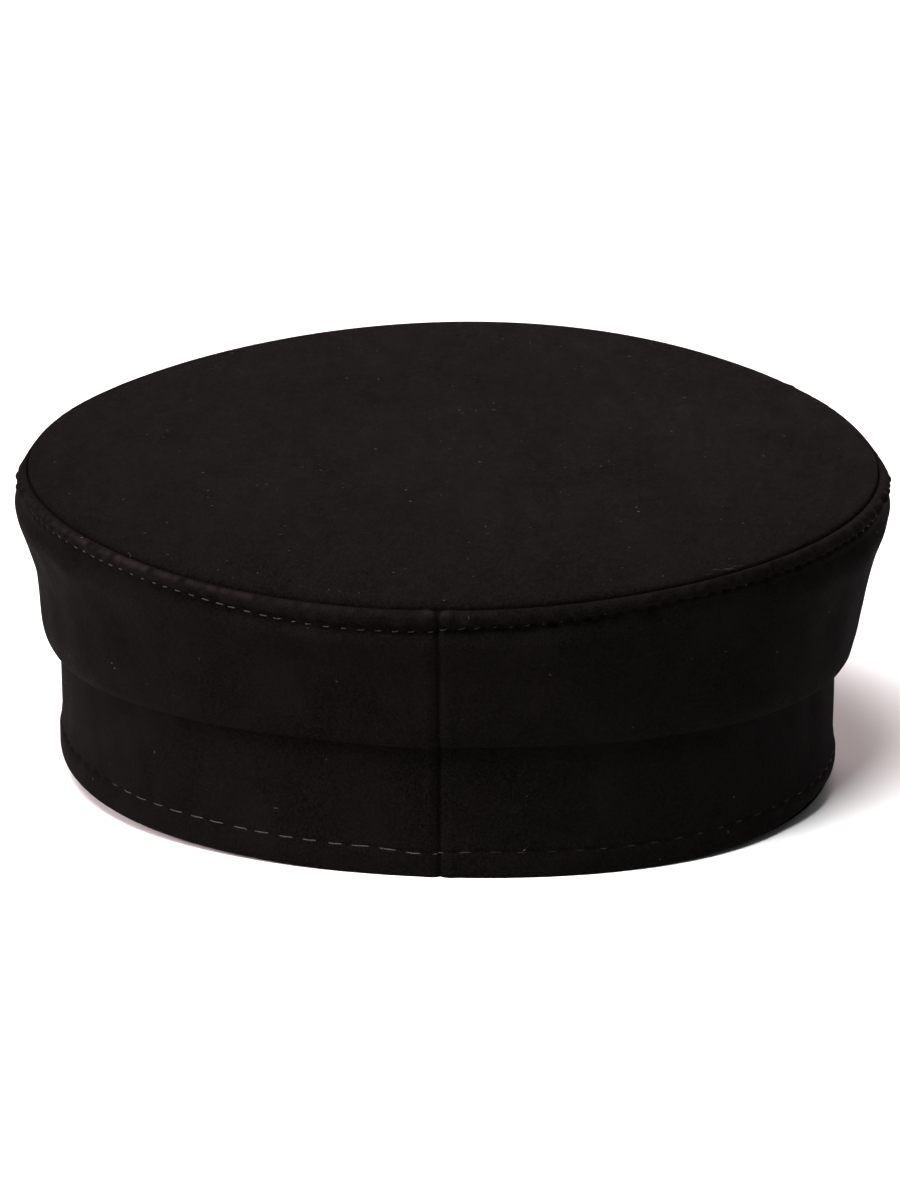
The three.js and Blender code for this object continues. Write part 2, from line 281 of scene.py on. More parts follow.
def slack(x, y, seed, lengths):
    """Soft waves of about unit size over a flat piece, one for each wavelength."""
    rng = np.random.default_rng(seed)
    total = np.zeros(np.broadcast(x, y).shape)
    for length in lengths:
        heading, phase = rng.uniform(0, math.pi), rng.uniform(0, 2 * math.pi)
        total += np.sin((x * math.cos(heading) + y * math.sin(heading)) * 2 * math.pi / length + phase)
    return total / math.sqrt(len(lengths) / 2)


# ---------------------------------------------------------------- outlines, heights and curves


def outward(angle):
    return np.stack([np.cos(angle), np.sin(angle), np.zeros_like(angle)], axis=-1)


def on_outline(outline, angle, inset=0.0, height=0.0):
    turned = angle + outline.turn
    waves = outline.oval * np.cos(2 * turned) + outline.skew * np.sin(2 * turned)
    corners = outline.square * np.cos(4 * turned) + outline.twist * np.sin(4 * turned)
    reach = outline.radius * (1 + waves + corners) - inset
    points = outward(turned) * reach[..., None]
    points[..., 0] += outline.shift_x
    points[..., 2] = height
    return points


def fold_height(angle):
    """Height of the side panel's fold, which steps up at the centre back seam."""
    step = bell(angle - math.radians(FOLD_STEP_DEGREES), FOLD_STEP_SPREAD)
    step *= np.clip((angle - BACK) / FOLD_STEP_WIDTH, 0, 1)
    return FOLD_MEAN + FOLD_BACK_RISE * np.sin(angle) + FOLD_SIDE_RISE * np.cos(2 * angle) + FOLD_STEP * step


def seam_height(points):
    """Height of the surface that the crown's seam lies on."""
    x, y = points[..., 0], points[..., 1]
    arch = (SEAM_ARCH * (y * y - x * x) + SEAM_SKEW * 2 * x * y) / CROWN_PLAN.radius**2
    reach = np.hypot(x, y) / CROWN_PLAN.radius
    wander = SEAM_WANDER * reach**3 * np.cos(3 * (np.arctan2(y, x) - math.radians(SEAM_WANDER_DEGREES)))
    return SEAM_MEAN + SEAM_SLOPE_Y * y + SEAM_SLOPE_X * x + arch + wander


def columns(count):
    """Angles round the cap: that many evenly spaced, and more of them close to the centre back seam."""
    even = FRONT + np.arange(count) * 2 * math.pi / count
    beside = np.linspace(-1, 1, SEAM_COLUMNS)
    close = BACK + SEAM_SPREAD * np.sign(beside) * np.abs(beside) ** 1.6
    return np.unique(np.round(np.concatenate([even, close]), 6))


def smooth(points, steps):
    """A centripetal Catmull-Rom curve through points along the first axis, with that many steps in a span."""
    points = np.concatenate([2 * points[:1] - points[1:2], points, 2 * points[-1:] - points[-2:-1]])
    apart = np.sqrt(np.linalg.norm(np.diff(points, axis=0), axis=-1, keepdims=True)) + 1e-6
    t = (np.arange(steps) / steps)[:, None, None]
    square, cube = t * t, t * t * t
    spans = []
    for i in range(1, len(points) - 2):
        a, b, c, d = points[i - 1 : i + 3]
        before, here, after = apart[i - 1 : i + 2]
        start = ((b - a) / before - (c - a) / (before + here) + (c - b) / here) * here
        end = ((c - b) / here - (d - b) / (here + after) + (d - c) / after) * here
        span = (2 * cube - 3 * square + 1) * b + (cube - 2 * square + t) * start
        spans.append(span + (3 * square - 2 * cube) * c + (cube - square) * end)
    spans.append(points[-2:-1])
    return np.concatenate(spans)


def run_length(line):
    """Distance along a line of points, from its first point."""
    steps = np.linalg.norm(np.diff(line, axis=0), axis=-1)
    return np.concatenate([np.zeros((1, *steps.shape[1:])), np.cumsum(steps, axis=0)])


def at_distances(curve, places):
    """The points of each column's curve at those distances from its first point."""
    along = run_length(curve)
    found = np.empty((len(places), curve.shape[1], 3))
    for column in range(curve.shape[1]):
        for axis in range(3):
            found[:, column, axis] = np.interp(places[:, column], along[:, column], curve[:, column, axis])
    return found


# ---------------------------------------------------------------- meshes


def quads(rows, across, close_rows, close_across):
    """Corner numbers of the faces between neighbouring points of a grid."""
    row = np.arange(rows if close_rows else rows - 1)[:, None]
    column = np.arange(across if close_across else across - 1)[None, :]
    next_row, next_column = (row + 1) % rows, (column + 1) % across
    corners = [
        row * across + column,
        row * across + next_column,
        next_row * across + next_column,
        next_row * across + column,
    ]
    return np.stack([np.broadcast_to(c, (row.size, column.size)) for c in corners], axis=-1).reshape(-1, 4)


def tube_faces(count, rings, sides):
    """Corner numbers of the faces of that many closed tubes, whose points follow each other ring by ring."""
    tube = quads(rings, sides, False, True).tolist()
    tube.append(list(range(sides))[::-1])
    tube.append(list(range((rings - 1) * sides, rings * sides)))
    firsts = range(0, count * rings * sides, rings * sides)
    return [[first + corner for corner in face] for first in firsts for face in tube]


def make_piece(name, placed, faces, material, worn_and_highlight=None):
    """A piece from placed points. The last argument is how far each point is painted paler, for nap rubbed
    pale and for a painted highlight, from 0 to 1.
    """
    mesh = bpy.data.meshes.new(name)
    mesh.from_pydata(placed.tolist(), [], [list(map(int, f)) for f in faces])
    if worn_and_highlight is not None:
        # Paler places stored on the mesh: rubbed nap and a painted highlight.
        mesh.attributes.new("worn_and_highlight", "FLOAT", "POINT").data.foreach_set("value", worn_and_highlight.ravel())
    mesh.validate()
    mesh.shade_smooth()
    mesh.set_sharp_from_angle(angle=math.radians(SHARP_DEGREES))
    mesh.materials.append(material)
    piece = bpy.data.objects.new(name, mesh)
    bpy.context.scene.collection.objects.link(piece)
    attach(piece, "root")
    return piece


def grid_normals(grid):
    """Outward unit normals of a ring's grid, whose rows run up the outside."""
    round_it = np.roll(grid, -1, axis=1) - np.roll(grid, 1, axis=1)
    up_it = np.gradient(grid, axis=0)
    normals = np.cross(round_it, up_it)
    return normals / np.linalg.norm(normals, axis=-1, keepdims=True)


# ---------------------------------------------------------------- topstitching


def sewn_by_hand(whole, stitching, seed):
    """Where each stitch's middle is on a line of that length, and how long it is. Neither is quite even."""
    rng = np.random.default_rng(seed)
    count = round(whole / stitching.pitch)
    middles = (np.arange(count) + 0.5 + rng.uniform(-0.09, 0.09, count)) * whole / count
    return middles, stitching.length * (1 + stitching.uneven * rng.uniform(-1, 1, count))


def sewn_round(line, stitching, seed):
    """Stitches along a closed line: their middles, their lengths, and their beat at each point of the line.

    The beat is an angle that grows by a full turn from the middle of one stitch to the middle of the next.
    """
    along = run_length(line)
    whole = along[-1] + np.linalg.norm(line[-1] - line[0])
    middles, lengths = sewn_by_hand(whole, stitching, seed)
    places = np.concatenate([[middles[-1] - whole], middles, [middles[0] + whole]])
    beat = np.interp(along, places, np.arange(-1, len(middles) + 1)) * 2 * math.pi
    return middles, lengths, beat


def nap_over_thread(angle, cover):
    """How far the nap has closed over the stitches, from 0 to 1."""
    starts = np.clip((angle - math.radians(cover.right_from)) / math.radians(COVER_STARTS_OVER), 0, 1)
    off_right = (angle - math.radians(COVER_RIGHT_MIDDLE)) / math.radians(COVER_RIGHT_SPREAD)
    off_left = (angle - math.radians(cover.left)) / math.radians(COVER_LEFT_SPREAD)
    return np.maximum(cover.right_much * starts * np.exp(-(off_right**8)), np.exp(-(off_left**4)))


def pin_pricks(pricks, covered, beat):
    """How deep the cloth is drawn in along the stitches, most where the thread goes through it."""
    more = pricks.covered * covered
    return pricks.depth + more - (pricks.change + more) * np.cos(beat)


def sewn(name, line, normals, middles, lengths, stitching, material, closed=True):
    """One mesh of short threads lying along a line. Each dips into the cloth at its ends."""
    if closed:
        line, normals = np.concatenate([line, line[:1]]), np.concatenate([normals, normals[:1]])
    along = run_length(line)
    share = np.linspace(-1, 1, THREAD_RINGS)
    places = middles[:, None] + share * lengths[:, None] / 2
    centre = np.stack([np.interp(places, along, line[:, i]) for i in range(3)], axis=-1)
    up = np.stack([np.interp(places, along, normals[:, i]) for i in range(3)], axis=-1)
    up /= np.linalg.norm(up, axis=-1, keepdims=True)
    ahead = np.gradient(centre, axis=1)
    ahead /= np.linalg.norm(ahead, axis=-1, keepdims=True)
    side = np.cross(up, ahead)
    centre = centre + up * ((0.16 - 0.5 * share**4) * stitching.thickness)[None, :, None]
    centre = centre + side * (share * stitching.slant / 2)[None, :, None]
    radius = stitching.thickness / 2 * np.sqrt(np.maximum(1 - 0.72 * share**6, 0.05))
    turn = np.arange(THREAD_SIDES) * 2 * math.pi / THREAD_SIDES
    around = np.cos(turn)[:, None] * side[:, :, None] + 0.8 * np.sin(turn)[:, None] * up[:, :, None]
    points = centre[:, :, None] + around * radius[None, :, None, None]
    faces = tube_faces(len(middles), THREAD_RINGS, THREAD_SIDES)
    return make_piece(name, place(points.reshape(-1, 3)), faces, material)


# ---------------------------------------------------------------- materials

# Linear colours: the cloth's nap where it lies down and where it stands up, its grain, the paler colour of
# its worn places and painted highlight, and the dark and pale ends of the others.
NAP_DOWN, NAP_UP = (0.0005, 0.00044, 0.0004, 1), (0.0022, 0.0019, 0.0017, 1)
GRAIN_COLOUR, WORN_AND_HIGHLIGHT_COLOUR = (0.0037, 0.0032, 0.0029, 1), (0.0115, 0.0083, 0.0078, 1)
THREAD_DARK, THREAD_PALE = (0.004, 0.0038, 0.0036, 1), (0.01, 0.0098, 0.0094, 1)
FLUFF_DARK, FLUFF_PALE = (0.011, 0.0101, 0.0098, 1), (0.056, 0.0485, 0.0463, 1)
FLOOR_DARK, FLOOR_PALE = (0.88, 0.88, 0.88, 1), (0.92, 0.92, 0.92, 1)


def node(tree, kind, inputs=None, **settings):
    made = tree.nodes.new(kind)
    for name, value in settings.items():
        setattr(made, name, value)
    for name, value in (inputs or {}).items():
        if isinstance(value, bpy.types.NodeSocket):
            tree.links.new(value, made.inputs[name])
        else:
            made.inputs[name].default_value = value
    return made


def new_material(name, settings):
    """A material with those settings on its shader, its node tree, and where a point is on the object."""
    material = bpy.data.materials.new(name)
    material.use_nodes = True
    tree = material.node_tree
    shader = tree.nodes["Principled BSDF"]
    for socket, value in settings.items():
        shader.inputs[socket].default_value = value
    return material, tree, shader, node(tree, "ShaderNodeTexCoord").outputs["Object"]


def noise(tree, where, scale, detail=2.0, roughness=0.5):
    inputs = {"Vector": where, "Scale": scale, "Detail": detail, "Roughness": roughness}
    return node(tree, "ShaderNodeTexNoise", inputs).outputs["Fac"]


def mixed(tree, share, low, high):
    made = node(tree, "ShaderNodeMix", data_type="RGBA")
    tree.links.new(share, made.inputs["Factor"])
    for socket, value in ((made.inputs[6], low), (made.inputs[7], high)):
        if isinstance(value, bpy.types.NodeSocket):
            tree.links.new(value, socket)
        else:
            socket.default_value = value
    return made.outputs[2]


def ranged(tree, value, low, high, to_low=0.0, to_high=1.0):
    inputs = {"Value": value, "From Min": low, "From Max": high, "To Min": to_low, "To Max": to_high}
    return node(tree, "ShaderNodeMapRange", inputs).outputs["Result"]


def bump(tree, height, strength, distance, **inputs):
    inputs = {"Height": height, "Strength": strength, "Distance": distance, **inputs}
    return node(tree, "ShaderNodeBump", inputs).outputs["Normal"]


def cloth_material(name, lie, mottled):
    """Very dark brown cloth with a short nap that lies over in patches, is finely grained, and is painted
    paler in places for worn nap and a painted highlight.

    Lie is how closely the nap's patches follow each other along each axis, so it is small along the way it is
    brushed. Mottled, from 0 to 1, is how strong the small patches are beside the large ones.
    """
    settings = {
        "Specular IOR Level": 0.0068,
        "Sheen Weight": 0.002,
        "Sheen Roughness": 0.45,
        "Sheen Tint": (1.0, 0.45, 0.45, 1),
    }
    material, tree, shader, on_object = new_material(name, settings)
    where = node(tree, "ShaderNodeMapping", {"Vector": on_object, "Scale": lie}).outputs["Vector"]
    grain = noise(tree, where, 2200, 3, 0.7)
    # Paler colour where the mesh marks rubbed nap and a painted highlight on the ridge.
    worn_and_highlight = node(tree, "ShaderNodeAttribute", attribute_name="worn_and_highlight").outputs["Fac"]
    patches = ranged(tree, noise(tree, where, 50, 6, mottled), 0.35, 0.65)
    patch_colour = mixed(tree, patches, NAP_DOWN, NAP_UP)
    napped = mixed(tree, ranged(tree, grain, 0.36, 0.7), patch_colour, GRAIN_COLOUR)
    tree.links.new(mixed(tree, worn_and_highlight, napped, WORN_AND_HIGHLIGHT_COLOUR), shader.inputs["Base Color"])
    nap = noise(tree, where, 170, 8, 0.88)
    tree.links.new(ranged(tree, nap, 0.36, 0.64, 0.73, 0.88), shader.inputs["Roughness"])
    soft = bump(tree, noise(tree, where, 650, 3, 0.6), 0.7, 0.0005)
    tree.links.new(bump(tree, grain, 0.6, 0.0003, Normal=soft), shader.inputs["Normal"])
    return material


def thread_material():
    settings = {"Roughness": 0.4, "Specular IOR Level": 0.25}
    material, tree, shader, where = new_material("sewing_thread", settings)
    uneven = ranged(tree, noise(tree, where, 900), 0.3, 0.7)
    tree.links.new(mixed(tree, uneven, THREAD_DARK, THREAD_PALE), shader.inputs["Base Color"])
    tree.links.new(bump(tree, noise(tree, where, 4000, 1), 0.4, 0.0001), shader.inputs["Normal"])
    return material


def fluff_material():
    material, tree, shader, where = new_material("pale_fluff", {"Roughness": 0.9, "Specular IOR Level": 0.1})
    uneven = ranged(tree, noise(tree, where, 60, 1), 0.35, 0.65)
    tree.links.new(mixed(tree, uneven, FLUFF_DARK, FLUFF_PALE), shader.inputs["Base Color"])
    return material


def floor_material():
    material, tree, shader, where = new_material("pale_floor", {"Roughness": 0.9, "Specular IOR Level": 0.1})
    tree.links.new(mixed(tree, noise(tree, where, 3), FLOOR_DARK, FLOOR_PALE), shader.inputs["Base Color"])
    return material


# ---------------------------------------------------------------- side panel


def side_points(angle, row):
    """One row of the side panel, between the band's outline at the fold and the crown's at the seam."""
    low = on_outline(BAND_PLAN, angle)
    high = on_outline(CROWN_PLAN, angle)
    foot = fold_height(angle)
    forward = -np.sin(angle)
    at_seam = row.rise == 1
    pinch = RIDGE_PINCH * bell(forward - RIDGE_PINCH_FORWARD, RIDGE_PINCH_SPREAD)
    slim = RIDGE_SLIM * np.clip(3 * forward, 0, 1) + pinch
    in_ridge = at_seam and row.lift > RIDGE_LIFT and row.puff > 0
    points = low + (high - low) * row.lean + outward(angle) * (row.puff * (1 - slim * in_ridge))[..., None]
    points[..., 2] = foot + row.rise * (seam_height(high) - foot) + row.lift
    if at_seam and row.lift > CREST_LIFT:
        beside = CREST_SIDE_RISE * np.cos(angle) ** 2 * np.clip(0.3 - 3 * forward, 0, 1)
        points[..., 2] += beside + CREST_RIGHT_RISE * near(angle, CREST_RIGHT_DEGREES, CREST_RIGHT_SPREAD)
    if at_seam and row.puff < 0:
        points[..., 2] += GROOVE_SIDE_RISE * np.cos(angle) ** 2
    return points


def back_seam(angle, reach):
    """How far the centre back seam pulls cloth in, where the cloth is that far from the head's axis."""
    off = (angle - BACK) * reach
    groove = GROOVE_DEPTH * bell(off, GROOVE_WIDTH) + SHOULDER_DEPTH * bell(off, SHOULDER_WIDTH)
    return groove - TURNED_EDGE_PROUD * bell(np.abs(off) - TURNED_EDGE_AWAY, TURNED_EDGE_WIDTH)


def crown_stitch_distance(angle):
    """How far below the ridge's crest its topstitching runs. It sags a little at the centre back."""
    sag = CROWN_STITCH_SAG * near(angle, CROWN_STITCH_SAG_DEGREES, CROWN_STITCH_SAG_SPREAD)
    step = np.where(angle > BACK, CROWN_STITCH_STEP, 0) * near(angle, 96, 25)
    return CROWN_STITCH_DROP + sag - step + ripples(angle, 0, CROWN_STITCH_WANDER)


def rubbed_pale_and_highlit(angle, down):
    """How far the ridge's upper face is painted paler, for worn nap and a painted highlight where light
    falls: in patches, most of all left of the centre back.
    """
    patches = np.clip(WORN_HIGHLIGHT_LEVEL + ripples(angle, 0, WORN_HIGHLIGHT_PATCHES), 0, 1)
    off = (angle - BACK) * CROWN_BACK_REACH
    left = bell(off - WORN_HIGHLIGHT_LEFT_AT, WORN_HIGHLIGHT_LEFT_WIDTH)
    beside = left + WORN_HIGHLIGHT_RIGHT * bell(off - WORN_HIGHLIGHT_RIGHT_AT, WORN_HIGHLIGHT_RIGHT_WIDTH)
    much = WORN_HIGHLIGHT_LEAST + WORN_HIGHLIGHT_MORE * near(angle, WORN_HIGHLIGHT_DEGREES, WORN_HIGHLIGHT_SPREAD)
    return np.clip(patches * much + WORN_HIGHLIGHT_BY_SEAM * beside, 0, 1) * bell(down - WORN_HIGHLIGHT_DOWN, WORN_HIGHLIGHT_HEIGHT)


def side_rows(crest, whole):
    """Distances of the rows from the seam, down over the crest to the fold, closest round the ridge."""
    finest = np.arange(FINEST_FROM, FINEST_REACH, FINEST_STEP)
    ridge = np.concatenate([finest, np.arange(FINEST_REACH, FINE_REACH, FINE_STEP)])
    share = 1 - (1 - np.linspace(0, 1, LOWER_ROWS)) ** 1.4
    lower = crest + FINE_REACH + share[:, None] * (whole - crest - FINE_REACH)
    return np.concatenate([np.linspace(0, 1, CREST_ROWS)[:, None] * crest, crest + ridge[:, None], lower])


def shaped(pull, tight, above, wave):
    """How far the cloth is moved by one kind of pull, at a distance above the stitches."""
    return (pull.size + pull.tight * tight) * wave * bell(above - pull.above, pull.width)


def sewing_shift(angle, above, beat, covered):
    """How far the crown's topstitching pulls the cloth in, less the lumps and tugs that stand out of it."""
    tight = np.where(angle > BACK, covered * (1 - SLACKER * near(angle, SLACKER_DEGREES, SLACKER_SPREAD)), 0)
    pricks = pin_pricks(CROWN_PRICKS, tight, beat) * bell(above, CROWN_PRICKS.width)
    held = shaped(CROWN_HELD, tight, above, 1) + pricks
    lumps = shaped(CROWN_LUMPS, tight, above, ripples(angle, 0, RIDGE_LUMPS))
    return held - lumps - shaped(CROWN_TUGS, tight, above, np.cos(beat + TUG_SLANT * above))


def drape(angle, down, up, whole):
    """How far the free cloth stands out in soft waves, less what its waist is drawn in."""
    waves = ripples(angle, up, PANEL_WAVES[0]) + ripples(angle, up, PANEL_WAVES[1])
    waist = WAIST_SHIFT * np.cos(angle) * bell(up / whole - WAIST_UP, WAIST_SPREAD)
    return (waves - waist) * np.clip(down / FADE_TO_CREST, 0, 1) * np.clip(up / FADE_TO_FOLD, LEFT_AT_FOLD, 1)


def side_panel(cloth):
    """The side panel's cloth. Gives the line of its topstitching, which way that faces, and its stitches."""
    angle = columns(PANEL_COLUMNS)
    curve = smooth(np.stack([side_points(angle, row) for row in SIDE_OUTSIDE[::-1]]), CURVE_STEPS)
    crest, whole = run_length(curve)[[(len(SIDE_OUTSIDE) - 1 - CREST_ROW) * CURVE_STEPS, -1]]
    places = side_rows(crest, whole)
    outside = at_distances(curve, places)[::-1]
    down, up = (places - crest)[::-1], (whole - places)[::-1]
    normals = grid_normals(outside)

    distance = crown_stitch_distance(angle)
    line = at_distances(curve, (crest + distance)[None])[0]
    middles, lengths, beat = sewn_round(line, CROWN_STITCH, 1)
    above = distance - down
    covered = nap_over_thread(angle, CROWN_COVER)

    deeper = 1 + RIDGE_NOTCH * bell(down - RIDGE_NOTCH_DOWN, RIDGE_NOTCH_WIDTH)
    notch = back_seam(angle, CROWN_BACK_REACH) * deeper * np.clip(1 + down, 0, 1)
    sewing = sewing_shift(angle, above, beat, covered) * np.clip(down, 0, 1)
    shift = drape(angle, down, up, whole) - sewing - notch
    dressed = outside + normals * shift[..., None]
    inside = np.stack([side_points(angle, row) for row in SIDE_INSIDE])
    grid = np.concatenate([dressed, inside])
    # Painted highlight and rubbed nap on the ridge's upper face; none on the inside.
    worn_and_highlight = np.concatenate([rubbed_pale_and_highlit(angle, down), np.zeros(inside.shape[:2])])
    faces = quads(*grid.shape[:2], True, True)
    piece = make_piece("side_panel_cloth", place(grid.reshape(-1, 3)), faces, cloth, worn_and_highlight)
    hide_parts("side_panel")

    facing = normals[np.argmin(np.abs(down[:, 0] - distance.mean()))]
    held_line = np.empty_like(line)
    for column in range(len(angle)):
        for axis in range(3):
            held_line[column, axis] = np.interp(0, above[:, column], dressed[:, column, axis])
    sunk = CROWN_COVER.lie + CROWN_COVER.sink * covered
    return held_line - facing * sunk[:, None], facing, middles, lengths


# ---------------------------------------------------------------- crown

# How the crown turns down at its edge: distance in from the seam, and drop below the dome.
CROWN_EDGE = [
    (2.0, 0.01),
    (1.2, 0.05),
    (0.8, 0.12),
    (0.56, 0.24),
    (0.42, 0.42),
    (0.35, 0.7),
    (0.31, 1.15),
    (GAP, 2.4),
]
# Its turning, inside the side panel: distance in from the seam, and drop below the seam.
CROWN_TURNING = [
    (GAP, TURNING_DEPTH),
    (GAP + TURNING_WALL, TURNING_DEPTH),
    (GAP + TURNING_WALL, 1 + CROWN_WALL),
]
CROWN_MIDDLE = np.array([CROWN_PLAN.shift_x, 0, 0])


def dome_height(points, share):
    towards_back = 0.5 + 0.5 * points[..., 1] / CROWN_PLAN.radius
    return CROWN_RISE * (1 - share**4) + CROWN_BACK_RISE * towards_back * (1 - share**3)


def crown_height(points, share):
    """Height of the crown's top at a share of the way from its middle to its edge, with soft waves."""
    waves = CROWN_WAVE_SIZE * slack(points[..., 0], points[..., 1], CROWN_WAVE_SEED, CROWN_WAVE_LENGTHS)
    return seam_height(points) + dome_height(points, share) + waves * (1 - share**6)


def on_dome(angle, inset):
    """Points of the smooth dome near its edge, at a distance in from the seam."""
    points = on_outline(CROWN_PLAN, angle, inset)
    points[..., 2] = seam_height(points) + dome_height(points, 1 - inset / CROWN_PLAN.radius)
    return points


def crown_ring(angle, share, drop):
    """A ring of the crown's top at a share of the way from its middle to its edge, lowered by a drop."""
    points = CROWN_MIDDLE + (on_outline(CROWN_PLAN, angle) - CROWN_MIDDLE) * share
    points[..., 2] = crown_height(points, share) - drop
    return points


def crown_rings(angle):
    """All rings of the crown, from the middle of its top, over its edge and turning, to that underneath."""
    rings = [crown_ring(angle, share, 0) for share in np.linspace(0.04, 1 - 3.2 / CROWN_PLAN.radius, 42)]
    for inset, drop in CROWN_EDGE:
        rings.append(on_dome(angle, inset) - [0, 0, drop])
    for inset, drop in CROWN_TURNING:
        points = on_outline(CROWN_PLAN, angle, inset)
        points[..., 2] = seam_height(points) - drop
        rings.append(points)
    return rings + [crown_ring(angle, share, CROWN_WALL) for share in np.linspace(0.965, 0.04, 24)]


def crown_top(cloth):
    grid = np.stack(crown_rings(columns(CROWN_COLUMNS)))[:, ::-1]
    middles = np.tile(CROWN_MIDDLE, (2, 1))
    middles[:, 2] = crown_height(CROWN_MIDDLE, 0) - [0, CROWN_WALL]
    count, across = grid.shape[:2]
    faces = quads(count, across, False, True).tolist()
    last = (count - 1) * across
    for column in range(across):
        after = (column + 1) % across
        faces.append([count * across, after, column])
        faces.append([count * across + 1, last + column, last + after])
    points = np.concatenate([grid.reshape(-1, 3), middles])
    piece = make_piece("crown_top_cloth", place(points), faces, cloth)
    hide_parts("crown_top")


# ---------------------------------------------------------------- head band

# Heights of the rows round the hem, and of the rows beside the topstitching, measured from it.
HEM_ROWS = [0, 0.04, 0.12, 0.25, 0.45, 0.7, 1.1, 1.6, 2.1, 2.6]
STITCH_ROWS = np.arange(-2, 2.1, 0.25)
# The hem's inside: distance in from the outline, and height.
HEM_INSIDE = [(2.6, 4.0), (2.4, 1.2), (2.1, 0.4), (1.6, 0.05)]
INSIDE_FOOT = 9


def band_stitch_height(angle):
    """Height of the band's topstitching, which wanders a little and dips where it reaches the centre back."""
    wander = BAND_STITCH_TILT * np.cos(2 * (angle - math.radians(50))) + ripples(angle, 0, BAND_STITCH_WANDER)
    return BAND_STITCH_HEIGHT + wander - BAND_STITCH_DIP * near(angle, 87.5, 4)


def band_surface(angle, height):
    """The band's outside without its stitching: drawn in above the hem, with soft waves and the back seam."""
    drawn = BAND_DRAW * np.clip((height - 4) / 5, 0, 1)
    waves = ripples(angle, height, BAND_WAVES[0]) + ripples(angle, height, BAND_WAVES[1])
    tucked = HEM_TUCK * bell(angle - math.radians(HEM_TUCK_DEGREES), HEM_TUCK_SPREAD)
    tucked = tucked * np.clip(1 - height / HEM_TUCK_HEIGHT, 0, 1)
    low = np.clip(height / HEM_ROUND, 0, 1)
    rounded = HEM_ROUND * (1 - np.sqrt(1 - (1 - low) ** 2))
    seam = back_seam(angle, BAND_BACK_REACH)
    inset = drawn - waves * np.clip(height / 4, 0, 1) + seam + tucked + rounded
    return on_outline(BAND_PLAN, angle, inset, height)


def band_heights(angle, sewn_at, top):
    """Heights of the outside's rows: round the hem, beside the topstitching, and from there up to the top."""
    clear = sewn_at + STITCH_ROWS[-1]
    rows = [h + 0 * angle for h in HEM_ROWS] + [sewn_at + h for h in STITCH_ROWS]
    return np.stack(rows + [clear + (top - clear) * share for share in np.linspace(0, 1, 18)[1:]])


def band_inside(angle, top):
    """The band's inside, from its top edge down to the hem."""
    wall = BAND_WALL + BAND_DRAW
    rows = [on_outline(BAND_PLAN, angle, wall, top - 0.1)]
    for share in (0.75, 0.5, 0.25, 0):
        rows.append(on_outline(BAND_PLAN, angle, wall, INSIDE_FOOT + (top - INSIDE_FOOT) * share))
    return np.stack(rows + [on_outline(BAND_PLAN, angle, inset, up) for inset, up in HEM_INSIDE])


def head_band(cloth):
    """The head band's cloth. Gives the line of its topstitching, which way that faces, and its stitches."""
    angle = columns(BAND_COLUMNS)
    top = fold_height(angle) + BAND_TUCK
    sewn_at = band_stitch_height(angle)
    height = band_heights(angle, sewn_at, top)
    middles, lengths, beat = sewn_round(band_surface(angle, sewn_at), BAND_STITCH, 2)
    covered = nap_over_thread(angle, BAND_COVER)
    pricks = pin_pricks(BAND_PRICKS, covered, beat) * bell(height - sewn_at, BAND_PRICKS.width)
    held = pricks + shaped(BAND_HELD, 0, height - sewn_at, 1)
    outside = band_surface(angle, height) - outward(angle) * held[..., None]
    grid = np.concatenate([outside, band_inside(angle, top)])
    faces = quads(*grid.shape[:2], True, True)
    piece = make_piece("head_band_cloth", place(grid.reshape(-1, 3)), faces, cloth)
    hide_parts("head_band")
    sunk = BAND_COVER.lie + BAND_COVER.sink * covered
    held_line = outside[len(HEM_ROWS) + len(STITCH_ROWS) // 2] - outward(angle) * sunk[:, None]
    return held_line, outward(angle), middles, lengths


# ---------------------------------------------------------------- peak

PeakPlan = namedtuple("PeakPlan", "angle width depth wall")
PEAK_ROWS, PEAK_EDGE_ROWS = 34, 9


def peak_plan():
    """The peak's columns from end to end. Width is 1 at the middle one and 0 at the ends."""
    half = math.radians(PEAK_HALF_DEGREES)
    turn = np.linspace(-half, half, PEAK_COLUMNS)
    width = np.maximum(np.cos(turn / half * math.pi / 2), 0) ** PEAK_TAPER
    depth = PEAK_END_DEPTH + (PEAK_DEPTH - PEAK_END_DEPTH) * width
    wall = PEAK_END_WALL + (PEAK_WALL - PEAK_END_WALL) * width
    return PeakPlan(FRONT + turn, width, depth, wall)


def peak_row(plan, out, side):
    """A row of points that far out, where side runs from 0 on top to 1 underneath."""
    along = out / plan.depth
    arch = PEAK_CAMBER * plan.width * 4 * along * (1 - along)
    points = on_outline(BAND_PLAN, plan.angle) + outward(plan.angle) * out[:, None]
    points[:, 2] = arch - GAP - PEAK_SLOPE * out - plan.wall * side
    return points


def peak_grid(plan, stitch_out):
    """The peak's rows: out along the top with a groove under its stitches, round the edge, back and root."""
    round_off = np.minimum(0.5 * plan.wall, 0.3 * plan.depth)
    body = plan.depth - round_off
    shares = np.linspace(0, 1, PEAK_ROWS)
    top = np.stack([peak_row(plan, body * share, 0.0) for share in shares])
    groove = PEAK_STITCH_DEPTH * bell(shares[:, None] * body - stitch_out, PEAK_GROOVE_WIDTH)
    top[..., 2] -= groove * np.clip((plan.depth - 6) / 6, 0, 1)
    bends = np.linspace(0, math.pi, PEAK_EDGE_ROWS + 2)[1:-1]
    edge = [peak_row(plan, body + round_off * math.sin(a), 0.5 - 0.5 * math.cos(a)) for a in bends]
    below = [peak_row(plan, body * share, 1.0) for share in shares[::-1]]
    root = [on_outline(BAND_PLAN, plan.angle, PEAK_TUCK, height) for height in (-GAP - plan.wall, -GAP)]
    return np.stack([*top, *edge, *below, *root])


